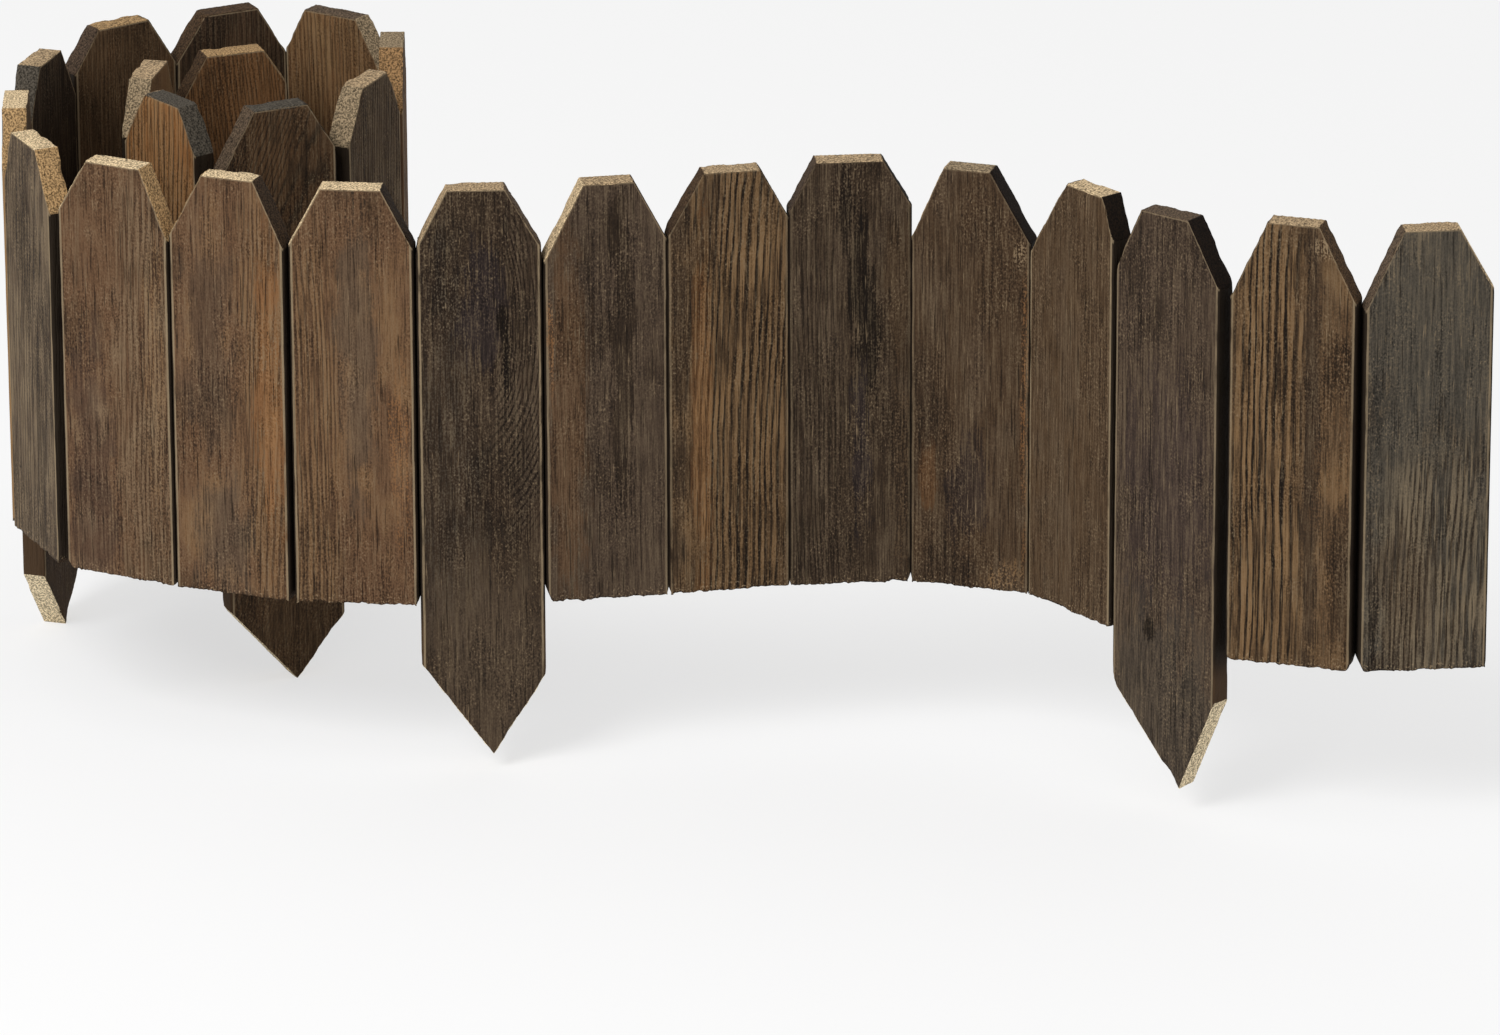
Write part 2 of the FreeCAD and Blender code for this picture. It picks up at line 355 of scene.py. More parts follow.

# %% [markdown]
# No two boards have the same grain or were charred alike, so each gets a line in a table. It starts with
# the body, dark and bright tones of the wood, how strongly the growth rings show, the log, and the tones
# of the sawn top and of its two ears. What only some boards have comes after that: where the ring lines
# are clearest, marks such as a scorched patch or a scuff, knots, large chips at the foot, the tone of the
# sides, which is painted shade for the gaps between the boards, and how much the edges were rubbed. A log
# is given by how far to the side and how deep its middle lay, and by the spacing of its rings. Leaning or
# arched grain adds the lean, and the height and stretch of the arches. Tones are named once, as they
# would be read off a colour chart from 0 to 255.

# %% Tones, logs and marks
TONES = {
    "soot": (25, 17, 10),
    "coal": (43, 32, 22),
    "smoke": (46, 37, 35),
    "char": (58, 45, 33),
    "umber": (70, 53, 37),
    "walnut": (81, 62, 43),
    "drab": (73, 59, 47),
    "plum": (60, 48, 44),
    "slate": (75, 69, 60),
    "ash": (89, 74, 59),
    "russet": (98, 72, 51),
    "chestnut": (114, 82, 53),
    "rust": (150, 102, 59),
    "fawn": (144, 112, 76),
    "worn": (142, 124, 98),
    "gold": (160, 130, 91),
    "tan": (168, 144, 112),
    "straw": (196, 172, 136),
    "flax": (210, 186, 148),
    "cream": (218, 200, 166),
}

Log = namedtuple("Log", "heart depth spacing lean eye stretch", defaults=(0.0, -300, 16))
Lines = namedtuple("Lines", "x z across tall")
Mark = namedtuple("Mark", "tone x z across tall share flecked", defaults=(False,))
Knot = namedtuple("Knot", "x z across tall")
Chip = namedtuple("Chip", "side width height")
ALL_OVER = Lines(0, 120, 80, 320)
LOOK_PARTS = "body dark bright grain log top ears lines marks knots chips sides rub"
# The side tone is painted shade for the narrow gaps between the boards, soot unless a look names another.
Look = namedtuple("Look", LOOK_PARTS, defaults=(ALL_OVER, (), (), (), "soot", 0.85))

STRAIGHT = Log(150, 60, 2.4)
LOOKS = {
    1: Look("chestnut", "coal", "rust", 0.8, Log(120, 60, 3.0, 0.12), "gold", ("gold", "umber")),
    2: Look("chestnut", "umber", "gold", 0.6, Log(90, 40, 3.0), "tan", ("tan", "worn")),
    3: Look("rust", "umber", "gold", 1.4, Log(60, 30, 3.8, 0.02), "slate", ("tan", "slate")),
    4: Look("umber", "coal", "chestnut", 0.9, Log(-60, 20, 2.6, 0.35), "slate", ("ash", "coal"), marks=(
        Mark("walnut", 6, -90, 40, 60, 0.6),
    )),
    5: Look("umber", "coal", "worn", 0.8, Log(110, 40, 3.0), "tan", ("worn", "ash")),
    6: Look("walnut", "coal", "rust", 0.5, STRAIGHT, "worn", ("fawn", "fawn"), sides="russet"),
    7: Look("chestnut", "walnut", "gold", 1.0, Log(80, 25, 3.4), "ash", ("worn", "walnut")),
    8: Look("char", "soot", "russet", 0.6, Log(70, 60, 2.8), "umber", ("umber", "umber")),
    9: Look("walnut", "coal", "chestnut", 0.5, STRAIGHT, "gold", ("coal", "drab")),
    10: Look("coal", "soot", "umber", 0.4, Log(100, 50, 3.0), "tan", ("gold", "slate"), marks=(
        Mark("umber", 0, -70, 60, 70, 0.8),
    ), sides="walnut"),
    11: Look("ash", "umber", "russet", 0.4, Log(120, 50, 3.0), "flax", ("gold", "gold"), sides="fawn"),
    12: Look("ash", "coal", "worn", 0.8, Log(40, 60, 3.2, 0.03), "flax", ("tan", "gold"), marks=(
        Mark("coal", -8, 230, 12, 90, 0.4),
        Mark("coal", 16, 90, 9, 110, 0.4),
    )),
    13: Look("russet", "umber", "worn", 0.9, Log(90, 40, 3.0), "flax", ("straw", "gold"), marks=(
        Mark("plum", -22, 60, 20, 130, 0.4),
        Mark("gold", 32, 170, 10, 120, 0.25, True),
        Mark("coal", 40, 290, 8, 16, 0.6),
    ), lines=Lines(30, 150, 36, 210), chips=(Chip(-1, 5, 8),)),
    14: Look("russet", "umber", "fawn", 1.1, Log(80, 30, 3.0), "flax", ("gold", "char"), marks=(
        Mark("rust", 32, 150, 12, 130, 0.4),
        Mark("drab", -16, 190, 22, 90, 0.5),
        Mark("slate", -6, 40, 24, 60, 0.4),
    ), lines=Lines(34, 150, 30, 220)),
    15: Look("russet", "umber", "fawn", 1.1, Log(-110, 40, 2.6), "flax", ("flax", "coal"), marks=(
        Mark("ash", 2, 190, 14, 110, 0.6),
        Mark("rust", 34, 120, 9, 80, 0.4, True),
    ), lines=Lines(-32, 120, 24, 200)),
    16: Look("char", "soot", "ash", 1.2, Log(-10, 5, 2.5, 0.0, 225, 2.3), "tan", ("tan", "ash"), marks=(
        Mark("slate", -22, 130, 26, 190, 0.35, True),
        Mark("ash", 4, -60, 50, 90, 0.5),
        Mark("smoke", 2, 228, 17, 52, 0.85),
        Mark("soot", 19, 190, 4, 34, 1.0),
        Mark("soot", 16, 218, 4, 12, 1.0),
    ), lines=Lines(30, 190, 28, 140)),
    17: Look("drab", "coal", "ash", 0.6, STRAIGHT, "tan", ("straw", "umber"), marks=(
        Mark("rust", -41, 200, 4, 50, 0.6, True),
        Mark("chestnut", -30, 140, 16, 150, 0.35),
        Mark("coal", 12, 190, 9, 130, 0.7),
    ), lines=Lines(-30, 120, 26, 200), chips=(Chip(-1, 4, 12), Chip(1, 2, 8)), rub=0.6),
    18: Look("walnut", "soot", "fawn", 1.4, Log(130, 16, 4.8, 0.03), "tan", ("umber", "coal"), marks=(
        Mark("char", -36, 200, 9, 200, 0.6),
        Mark("char", -12, 300, 10, 60, 0.5),
        Mark("rust", -20, 130, 8, 150, 0.25),
    ), lines=Lines(8, 150, 44, 320), chips=(Chip(-1, 2, 8),), rub=0.4),
    19: Look("char", "soot", "ash", 0.9, Log(-90, 30, 2.8), "tan", ("drab", "soot"), marks=(
        Mark("soot", -4, 290, 6, 45, 0.8),
        Mark("soot", 6, 240, 9, 50, 0.85),
        Mark("soot", 13, 185, 11, 60, 0.9),
        Mark("smoke", 8, 105, 8, 65, 0.85),
        Mark("walnut", 34, 230, 12, 60, 0.4),
        Mark("walnut", 36, 90, 10, 90, 0.5, True),
    ), lines=Lines(-26, 120, 26, 220), chips=(Chip(1, 3, 8),), rub=0.2),
    20: Look("umber", "coal", "ash", 0.5, STRAIGHT, "worn", ("tan", "soot"), marks=(
        Mark("rust", -32, 84, 7, 28, 0.18),
        Mark("rust", 42, 160, 4, 120, 0.4, True),
        Mark("smoke", -2, 76, 15, 46, 0.6),
        Mark("fawn", 26, 10, 20, 15, 0.5, True),
        Mark("tan", 38, 262, 6, 14, 0.5, True),
    ), lines=Lines(-20, 120, 30, 200), chips=(Chip(-1, 2, 8),), rub=0.3),
    21: Look("walnut", "umber", "ash", 0.8, Log(130, 60, 2.4), "straw", ("walnut", "soot")),
    22: Look("drab", "coal", "ash", 0.7, Log(70, 30, 2.6), "ash", ("char", "soot"), marks=(
        Mark("plum", 0, 110, 40, 90, 0.6),
        Mark("slate", 0, -60, 60, 90, 0.4),
        Mark("soot", -13, 8, 5, 10, 0.9),
    ), lines=Lines(-26, 60, 30, 200), knots=(Knot(-13, 8, 7, 12),), rub=0.6),
    23: Look("walnut", "soot", "fawn", 1.6, Log(90, 18, 5.0), "tan", ("walnut", "walnut"), marks=(
        Mark("char", 14, 150, 7, 190, 0.8),
        Mark("chestnut", 30, 130, 16, 220, 0.3, True),
        Mark("coal", 38, 70, 10, 60, 0.5),
        Mark("tan", 24, 318, 12, 10, 0.5, True),
    ), lines=Lines(-20, 150, 30, 300), chips=(Chip(1, 3, 10),), rub=0.6),
    24: Look("slate", "coal", "worn", 1.3, Log(60, 22, 3.8, 0.04), "tan", ("ash", "straw"), marks=(
        Mark("slate", 0, 270, 70, 80, 0.8),
        Mark("umber", -20, 60, 26, 60, 0.4),
        Mark("soot", -38, 40, 6, 30, 0.6),
    ), lines=Lines(6, 70, 50, 110), chips=(Chip(-1, 4, 9),), rub=0.7),
}
USUAL_CHIP = 1.6


def tone(name):
    """A tone of the chart as the linear colour that shaders work in."""
    shares = [value / 255 for value in TONES[name]]
    linear = [((share + 0.055) / 1.055) ** 2.4 for share in shares]
    return (*linear, 1)


print(len(LOOKS), "looks,", sum(len(look.marks) for look in LOOKS.values()), "marks")

# %% [markdown]
# The rings of a log are circles. A board is a flat slice through them, so its grain is the same circles
# cut lengthwise: straight lines far from the log's middle, and arches where the middle is near. Each
# point of a board gets its ring number here, and both the relief and the colour are made from it. A knot
# pushes the rings aside.


# %% Growth rings
def ring_numbers(spots, board, look):
    """Which growth ring of the log passes through each point of a board."""
    x, y, z = spots.T
    log = look.log
    for knot in look.knots:
        near = np.exp(-(((x - knot.x) / (2.5 * knot.across)) ** 2) - ((z - knot.z) / knot.tall) ** 2)
        x = x - knot.across * np.tanh((x - knot.x) / (0.6 * knot.across)) * near
    sway = 1.5 * np.sin(z / 71 + board.number) + 0.6 * np.sin(z / 27 + 2.3 * board.number)
    across = x - log.heart - log.lean * z + sway
    deep = np.hypot(log.depth - y, (z - log.eye) / log.stretch)
    rings = np.hypot(across, deep) / log.spacing
    return rings + 0.3 * np.sin(0.83 * rings + board.number)


def groove(rings):
    """1 in the soft wood that brushing hollows, 0 on the hard ridge of a ring."""
    return 0.5 - 0.5 * np.cos(2 * math.pi * (rings - 0.3))


print("rings", min(look.log.spacing for look in LOOKS.values()), "mm apart or more")

# %% [markdown]
# A board starts as a block with rounded long edges. The saw cuts take off the ears and the foot, or form
# the point of a stake. The sawn edges are broken, and then the board is sliced into a fine grid, which
# gives the relief points to move. A plain board starts a little too long, because its foot frays later.


# %% Saw a board
SPARE_BELOW = 80
SPARE_ABOVE = 5
ARRIS = 0.6
SLICE_ACROSS = 1.5
SLICE_DEEP = 3.1
SLICE_UP = 4.5
FRAY_ALLOWANCE = 1.4
LEAST_DISTANCE = 0.12
SAME_PLACE = 1e-6


def select_edges(piece, wanted):
    """Select only the edges of a piece for which the test holds."""
    bpy.ops.object.mode_set(mode="EDIT")
    bpy.ops.mesh.select_all(action="DESELECT")
    bpy.ops.object.mode_set(mode="OBJECT")
    for edge in piece.data.edges:
        edge.select = wanted(edge)
    bpy.ops.object.mode_set(mode="EDIT")


def is_upright(piece, edge):
    """Seen from above, the two ends of an upright edge are in the same place."""
    start, end = (piece.data.vertices[index].co for index in edge.vertices)
    return (start - end).xy.length < SAME_PLACE


def start_block(board):
    """A block a little longer than the board, with its long edges rounded."""
    low = min(cut.point.z for cut in board.cuts) - SPARE_BELOW
    high = board.top + SPARE_ABOVE
    bpy.ops.object.select_all(action="DESELECT")
    centre = Vector((board.left + board.right, -board.thick, low + high)) / 2
    bpy.ops.mesh.primitive_cube_add(size=1, location=centre * MM)
    piece = bpy.context.object
    piece.name = f"{board.name}_wood"
    piece.scale = Vector((board.right - board.left, board.thick, high - low)) * MM
    bpy.ops.object.transform_apply(location=True, scale=True)
    select_edges(piece, lambda edge: is_upright(piece, edge))
    bpy.ops.mesh.bevel(offset=EDGE_ROUND * MM, segments=3, affect="EDGES")
    bpy.ops.object.mode_set(mode="OBJECT")
    return piece


def saw(cut):
    """Cut off what lies outside a plane from the active piece, and close the cut."""
    bpy.ops.object.mode_set(mode="EDIT")
    bpy.ops.mesh.select_all(action="SELECT")
    bpy.ops.mesh.bisect(plane_co=cut.point * MM, plane_no=cut.normal, use_fill=True, clear_outer=True)
    bpy.ops.object.mode_set(mode="OBJECT")


def slice_up(axis, low, high, step):
    """Cut the active piece into even slices across one axis, without parting it."""
    count = round((high - low) / step)
    normal = [0, 0, 0]
    normal[axis] = 1
    for index in range(1, count):
        place = [0, 0, 0]
        place[axis] = (low + (high - low) * index / count) * MM
        bpy.ops.mesh.select_all(action="SELECT")
        bpy.ops.mesh.bisect(plane_co=place, plane_no=normal)


def is_foot(cut):
    return cut.normal.z < -LEVEL_LIMIT


def is_ear(cut):
    return 0 < cut.normal.z < LEVEL_LIMIT


def is_plain(board):
    """A plain board has a flat foot, and a stake doesn't."""
    return any(is_foot(cut) for cut in board.cuts)


def foot_chips(board):
    """Cuts that take small splinters off the foot's two corners, larger where the look says so."""
    rng = random.Random(board.number)
    chips = {side: Chip(side, USUAL_CHIP * rng.uniform(0.4, 1.1), rng.uniform(3, 7)) for side in (-1, 1)}
    chips.update({chip.side: chip for chip in LOOKS[board.number].chips})
    for chip in chips.values():
        side = board.left if chip.side < 0 else board.right
        point = Vector((side - chip.side * chip.width, 0, -FRAY_ALLOWANCE))
        yield SawCut(point, Vector((chip.side * chip.height, 0, -chip.width)).normalized())


def saw_board(board):
    """Saw a board to its outline, break its sawn edges and slice it for the relief."""
    piece = start_block(board)
    for cut in board.cuts:
        place = cut.point - Vector((0, 0, FRAY_ALLOWANCE)) if is_foot(cut) else cut.point
        saw(SawCut(place, cut.normal))
    if is_plain(board):
        for chip in foot_chips(board):
            saw(chip)
    sawn = {tuple(sorted(key)) for face in piece.data.polygons if is_sawn(face) for key in face.edge_keys}
    select_edges(piece, lambda edge: tuple(sorted(edge.vertices)) in sawn)
    bpy.ops.mesh.bevel(offset=ARRIS * MM, segments=2, affect="EDGES")
    lowest = min(vertex.co.z for vertex in piece.data.vertices) / MM
    slice_up(0, board.left, board.right, SLICE_ACROSS)
    slice_up(1, -board.thick, 0, SLICE_DEEP)
    slice_up(2, lowest, board.top, SLICE_UP)
    bpy.ops.mesh.select_all(action="SELECT")
    bpy.ops.mesh.remove_doubles(threshold=LEAST_DISTANCE * MM)
    bpy.ops.object.mode_set(mode="OBJECT")
    return piece


plain = [board.number for board in boards if is_plain(board)]
print(len(plain), "plain boards and", len(boards) - len(plain), "stakes")

# %% [markdown]
# Now the relief. Brushing has hollowed the soft wood, handling has worn the edges, and a coarse saw has
# left the foot frayed. Displace modifiers do this: each moves the points inwards or up by the weight that
# a vertex group gives them.


# %% Carve a board
BRUSHED_DEPTH = 0.45
BRUSH_MARGIN = 2
WEAR_DEPTH = 1.6
WEAR_REACH = 3
FRAY_DEPTH = 3.2
FRAY_REACH = 2
NO_CHANGE_UPWARDS = 1000


def spots_of(piece):
    """The points of a piece as rows of x, y and z in millimetres."""
    numbers = np.empty(3 * len(piece.data.vertices))
    piece.data.vertices.foreach_get("co", numbers)
    return numbers.reshape(-1, 3) / MM


def speckle(spots, across, tall, salt):
    """Smooth noise from -1 to 1 at each point, with lumps of this size."""
    stretched = spots / (across, across, tall) + (salt, 0, salt)
    return np.array([noise.noise(spot) for spot in stretched])


def displace(piece, label, depths, deepest, direction):
    """Move points by these depths along one direction, with a modifier that is then applied."""
    group = piece.vertex_groups.new(name=label)
    for index, weight in enumerate(np.clip(depths / abs(deepest), 0, 1)):
        if weight > 0:
            group.add([index], float(weight), "REPLACE")
    carve = piece.modifiers.new(label, "DISPLACE")
    carve.vertex_group = label
    carve.direction = direction
    carve.mid_level = 0
    carve.strength = deepest * MM
    bpy.context.view_layer.objects.active = piece
    bpy.ops.object.modifier_apply(modifier=label)
    piece.vertex_groups.remove(piece.vertex_groups[label])


def distance_inside(cut, spots):
    """How far each point lies inside a saw cut."""
    return (np.array(cut.point) - spots) @ np.array(cut.normal)


def fading(distance, reach):
    """1 at an edge, and less with distance until it is 0."""
    return np.clip(1 - distance / reach, 0, 1)


def brushed_depth(spots, board, look, rings):
    """Brushing hollows the soft wood between the hard ridges, but not at the long edges."""
    x = spots[:, 0]
    to_side = np.minimum(x - board.left, board.right - x)
    fibre = speckle(spots, 1.6, 26, board.number)
    soft_wood = 0.75 * BRUSHED_DEPTH * groove(rings) * look.grain
    return (soft_wood + 0.1 * (1 + fibre)) * np.clip(to_side / BRUSH_MARGIN, 0, 1)


def worn_depth(spots, board):
    """Here and there the sawn edges are worn down, and the long edges a little."""
    x, y, z = spots.T
    nearest_cut = np.min([distance_inside(cut, spots) for cut in board.cuts], axis=0)
    to_face = np.minimum(board.thick + y, -y)
    to_side = np.minimum(x - board.left, board.right - x)
    to_long_edge = np.hypot(to_side, to_face)
    to_sawn_edge = np.hypot(np.maximum(nearest_cut, 0), np.minimum(to_face, to_side))
    uneven = np.clip(speckle(spots, 14, 22, board.number + 50) - 0.05, 0, 1)
    sawn_edges = fading(to_sawn_edge, WEAR_REACH)
    long_edges = 0.3 * fading(to_long_edge, WEAR_REACH)
    return WEAR_DEPTH * 2.2 * (uneven * np.maximum(sawn_edges, long_edges))


def frayed_height(spots, board):
    """A coarse saw leaves the foot ragged, with a few deeper bites."""
    coarse = speckle(spots, 3.2, NO_CHANGE_UPWARDS, board.number)
    fine = speckle(spots, 1.1, NO_CHANGE_UPWARDS, board.number)
    ragged = 0.5 + 0.5 * coarse + 0.35 * fine
    bites = np.clip(speckle(spots, 9, NO_CHANGE_UPWARDS, board.number + 9) - 0.25, 0, 1)
    from_foot = spots[:, 2] + FRAY_ALLOWANCE
    return (FRAY_ALLOWANCE * 1.5 * ragged + FRAY_DEPTH * 1.6 * bites) * fading(from_foot, FRAY_REACH)


def carve_board(piece, board, look):
    """Brush a board, wear its edges and fray its foot, and return the ring of each point."""
    spots = spots_of(piece)
    rings = ring_numbers(spots, board, look)
    displace(piece, "brushed", brushed_depth(spots, board, look, rings), -BRUSHED_DEPTH, "NORMAL")
    displace(piece, "worn", worn_depth(spots, board), -WEAR_DEPTH, "NORMAL")
    if is_plain(board):
        displace(piece, "frayed", frayed_height(spots, board), FRAY_DEPTH, "Z")
    return rings


print("relief up to", BRUSHED_DEPTH, "mm deep in the grain and", WEAR_DEPTH, "mm at the edges")

# %% [markdown]
# The finish of the upright faces is mixed in the order in which the real one came about. The wood drifts
# between its bright and its dark tone, and each growth ring ends in a hard, dark line. The marks of this
# board come over that, and then what brushing leaves: dust and fibres, lighter and darker, with a few
# scratches and dark checks. All of it is made from noises, most of them stretched along the grain. Each
# is given by the width and height of its lumps in millimetres, and by how finely they are broken up.


# %% Wood, marks and dust
Noises = namedtuple("Noises", "fibre hair patch smudge speck wander")
LUMPS = Noises((0.9, 16, 3), (2.0, 90, 3), (15, 32, 4), (42, 75, 3), (1.3, 1.8, 2), (9, 45, 2))
SCRATCHES = (1.0, 18, 2)
CHECKS = (1.2, 40, 2)


def stored_places(tree):
    """Where a point lies on its board, and its ring number, as they are stored with the mesh."""
    place = tree.node("ShaderNodeAttribute", {"attribute_name": "spot"}, None, "Vector")
    rings = tree.node("ShaderNodeAttribute", {"attribute_name": "ring"}, None, "Fac")
    return place, rings


def plain_tone(tree, name):
    """A tone of the chart, the same all over, for other colours to come over."""
    base = tree.node("ShaderNodeRGB")
    base.source.default_value = tone(name)
    return base


def patch_over(x, z, area, softness):
    """1 inside an oval on the face, 0 outside, with its rim moved by a noise."""
    reach = ((x - area.x) / area.across).length_with((z - area.z) / area.tall)
    return 1 - (reach + softness).rise(0.6, 1.15)


def ring_lines(rings, noises):
    """1 on the hard line that ends each growth ring, and 0 between the lines."""
    share = rings.maths("FRACT", rings + noises.wander * 0.9 + noises.fibre * 0.3)
    return 1 - ((share - 0.5).size() + noises.hair * 0.3).rise(0.06, 0.27)


def bare_wood(tree, look, noises, line, shown):
    """The body tone drifting to the bright and the dark one, and the lines of the rings."""
    drift = noises.smudge + noises.patch * 0.7
    colour = plain_tone(tree, look.body).tinted(drift.rise(0.0, 0.26) * 0.3, tone(look.bright))
    colour = colour.tinted((drift * -1).rise(0.0, 0.26) * 0.55, tone(look.dark))
    colour = colour.tinted((1 - line) * shown * 0.3, tone(look.bright))
    return colour.tinted(line * shown * 0.7, tone(look.dark))


def marked(colour, look, x, z, noises):
    """The marks of this board, with ragged rims, and some of them as flecks only."""
    rim = noises.patch * 1.8 + noises.hair * 1.4 + noises.fibre + noises.speck * 0.8
    for mark in look.marks:
        spread = patch_over(x, z, mark, rim)
        if mark.flecked:
            spread = spread * (noises.speck + noises.fibre * 0.7).rise(-0.02, 0.1)
        colour = colour.tinted(spread * mark.share, tone(mark.tone))
    return colour


def brushed(colour, place, salt, noises, checks):
    """Dust and fibres along the grain, lighter and darker, then flecks, scratches and checks."""
    gritty = (noises.smudge * -1 + noises.patch).rise(-0.12, 0.12)
    grains = noises.speck * (0.9 + gritty * 1.7)
    dusty = noises.fibre * 1.7 + noises.hair * 1.7 + grains + noises.smudge * 0.4
    colour = colour.shaded((1 + dusty.under(0)).over(0.3))
    colour = colour.tinted(dusty.over(0) * 0.42, tone("worn"))
    flecks = noises.speck.rise(0.15, 0.22) * gritty * 0.25
    scratches = place.cloud(*SCRATCHES, salt).rise(0.66, 0.74) * 0.3
    colour = colour.tinted(flecks.over(scratches), tone("tan"))
    return colour.tinted(checks * 0.7, tone("soot"))


print(len(LUMPS), "noises:", ", ".join(LUMPS._fields))

# %% [markdown]
# Handling has rubbed a pale line along the edges. The narrow sides face each other across the gaps, and
# most of them are painted near black as the shade in those gaps, except below the soil line on a stake.
# The foot of a plain board is sooty where the saw tore it, with a few pale fibres above.


# %% Edges, sides and feet
PALE_LINE = (2.6, 3.1)
PAINTED_SIDE_SHADE = (1.0, 1.5)
PALE_END = (1.2, 1.8)
INTO_SOIL = (-25, 0)
TORN_FIBRES = (1.4, 9, 3)
FACE_RELIEF = 0.7
WOOD_GLOSS = 0.12


def inside_cut(cut, x, z):
    """How far inside a saw cut a point lies."""
    return cut.point.dot(cut.normal) - (x * cut.normal.x + z * cut.normal.z)


def sawn_edge_distance(board, x, y, z):
    """Distance to the nearest edge of the top or an ear."""
    to_face = (y + board.thick).under(y * -1)
    nearest = 100
    for cut in board.cuts:
        if cut.normal.z > 0:
            nearest = inside_cut(cut, x, z).over(0).length_with(to_face).under(nearest)
    return nearest


def rubbed_edges_and_side_shade(colour, board, look, spot, noises):
    """Pale lines along the edges, and the painted shade of the gaps on the dark sides beyond them."""
    x, y, z = spot
    handled = (0.85 + noises.hair + noises.patch * 1.6).rise(0.35, 0.8) * look.rub
    near_side = (x - board.left).under(board.right - x) + noises.patch * 0.6 + noises.fibre * 0.5
    colour = colour.tinted((1 - near_side.rise(*PALE_LINE)) * handled, tone("worn"))
    on_side = 1 - near_side.rise(*PAINTED_SIDE_SHADE)
    # Painted shade: the sides, which face each other across the narrow gaps, take the dark side tone.
    colour = colour.tinted(on_side * 0.96, tone(look.sides))
    if not is_plain(board):
        colour = colour.tinted(on_side * (1 - z.rise(*INTO_SOIL)), tone("umber"))
    near_end = sawn_edge_distance(board, x, y, z) + noises.patch + noises.fibre * 0.9
    return colour.tinted((1 - near_end.rise(*PALE_END)) * handled * 0.8, tone("worn"))


def torn_foot(colour, place, z, salt, noises):
    """Soot at the sawn foot, and pale fibres a little higher."""
    torn = z + (place.cloud(*TORN_FIBRES, salt) - 0.5) * 12
    colour = colour.tinted((1 - torn.rise(-1.5, 1.5)) * 0.6, tone("soot"))
    return colour.tinted((1 - torn.rise(2, 8)) * noises.speck.rise(0.08, 0.18) * 0.5, tone("tan"))


def charred_wood(board, look):
    """Brushed and charred wood for the weather face, the back and the long edges."""
    material, tree = new_material(f"charred_wood_{board.number:02d}")
    place, rings = stored_places(tree)
    x, y, z = (place.part(axis) for axis in "XYZ")
    salt = 7.3 * board.number
    noises = Noises(*(place.cloud(*lumps, salt + index) - 0.5 for index, lumps in enumerate(LUMPS)))
    line = ring_lines(rings, noises)
    clearest = patch_over(x, z, look.lines, noises.patch * 1.5)
    shown = (0.7 + noises.hair * 2.4 + noises.patch * 1.5).rise(0.2, 0.8) * clearest * look.grain
    checks = 1 - place.cloud(*CHECKS, salt + 7).rise(0.3, 0.36)

    colour = bare_wood(tree, look, noises, line, shown)
    colour = marked(colour, look, x, z, noises)
    colour = brushed(colour, place, salt + 6, noises, checks)
    colour = rubbed_edges_and_side_shade(colour, board, look, (x, y, z), noises)
    if is_plain(board):
        colour = torn_foot(colour, place, z, salt + 8, noises)

    grain = noises.fibre * 0.9 + noises.patch * 0.15 + noises.speck * 0.6
    height = grain - checks * 0.5 - line * shown * 0.6
    surface(tree, colour, 0.8 + noises.fibre * 0.4, WOOD_GLOSS, height, FACE_RELIEF * MM)
    return material


print("charred wood is ready to be mixed for", len(LOOKS), "boards")

# %% [markdown]
# Sawn ends are a different surface: the saw leaves open pores and torn fibre, which look pale and
# speckled, and the growth rings show faintly as arcs. Some ends were charred after sawing and some
# weren't, so the top and each ear have a tone of their own. The slopes of a point were sawn last and
# are the palest, and the foot of a plain board is dark.


# %% Finish of the sawn ends
PORES = (1.35, 1.35, 3)
CLUMPS = (5, 5, 4)
BELOW_THE_EARS = (30, 60)
END_RELIEF = 0.5


def ear_tones(colour, board, look, x, z, lumps):
    """Each ear in its own tone, up to the edge where it meets the top."""
    for cut in board.cuts:
        if is_ear(cut):
            name = look.ears[0] if cut.normal.x < 0 else look.ears[1]
            on_ear = 1 - (inside_cut(cut, x, z) + (lumps - 0.5) * 1.5).rise(0.4, 1.4)
            colour = colour.tinted(on_ear, tone(name))
    return colour


def sawn_ends(board, look):
    """Speckled end grain for the top, the ears, and the foot or point."""
    material, tree = new_material(f"sawn_ends_{board.number:02d}")
    place, rings = stored_places(tree)
    x, z = place.part("X"), place.part("Z")
    salt = 3.1 * board.number
    pores = place.cloud(*PORES, salt)
    lumps = place.cloud(*CLUMPS, salt + 1)
    colour = ear_tones(plain_tone(tree, look.top), board, look, x, z, lumps)
    below = 1 - z.rise(*BELOW_THE_EARS)
    colour = colour.tinted(below, tone("char" if is_plain(board) else "cream"))
    arcs = rings.maths("FRACT", rings).rise(0.55, 0.9) * 0.18
    open_pores = (1 - pores.rise(0.38, 0.5)) * 0.45
    torn_tips = pores.rise(0.5, 0.6) * 0.6
    stains = (1 - lumps.rise(0.32, 0.5)) * 0.15
    colour = colour.shaded(0.92 - arcs - open_pores + torn_tips - stains)
    height = pores * 0.7 + lumps * 0.6
    surface(tree, colour, 0.9, WOOD_GLOSS, height, END_RELIEF * MM)
    return material


print("sawn ends are ready to be mixed for", len(LOOKS), "boards")

# %% [markdown]
# Now the 24 boards. Each is sawn and carved at the origin, its points keep the place that they have
# there as an attribute that the finishes read, and then it is turned and moved to its place in the row.


# %% Make the boards
SMOOTH_BELOW = 40


def heading(board):
    """The turn from the lengths of a board to the directions of the row."""
    return Matrix((board.along, -board.outward, (0, 0, 1))).transposed().to_4x4()


def place_board(piece, board):
    """Turn a board to its heading and move it to its place, in its mesh."""
    piece.matrix_world = Matrix.Translation(board.middle) @ heading(board)
    bpy.ops.object.select_all(action="DESELECT")
    piece.select_set(True)
    bpy.ops.object.transform_apply(location=True, rotation=True)


def keep(piece, label, kind, values):
    """Store a value for each point of a piece under a name that materials can read."""
    layer = piece.data.attributes.new(label, kind, "POINT")
    layer.data.foreach_set("vector" if kind == "FLOAT_VECTOR" else "value", values.ravel())


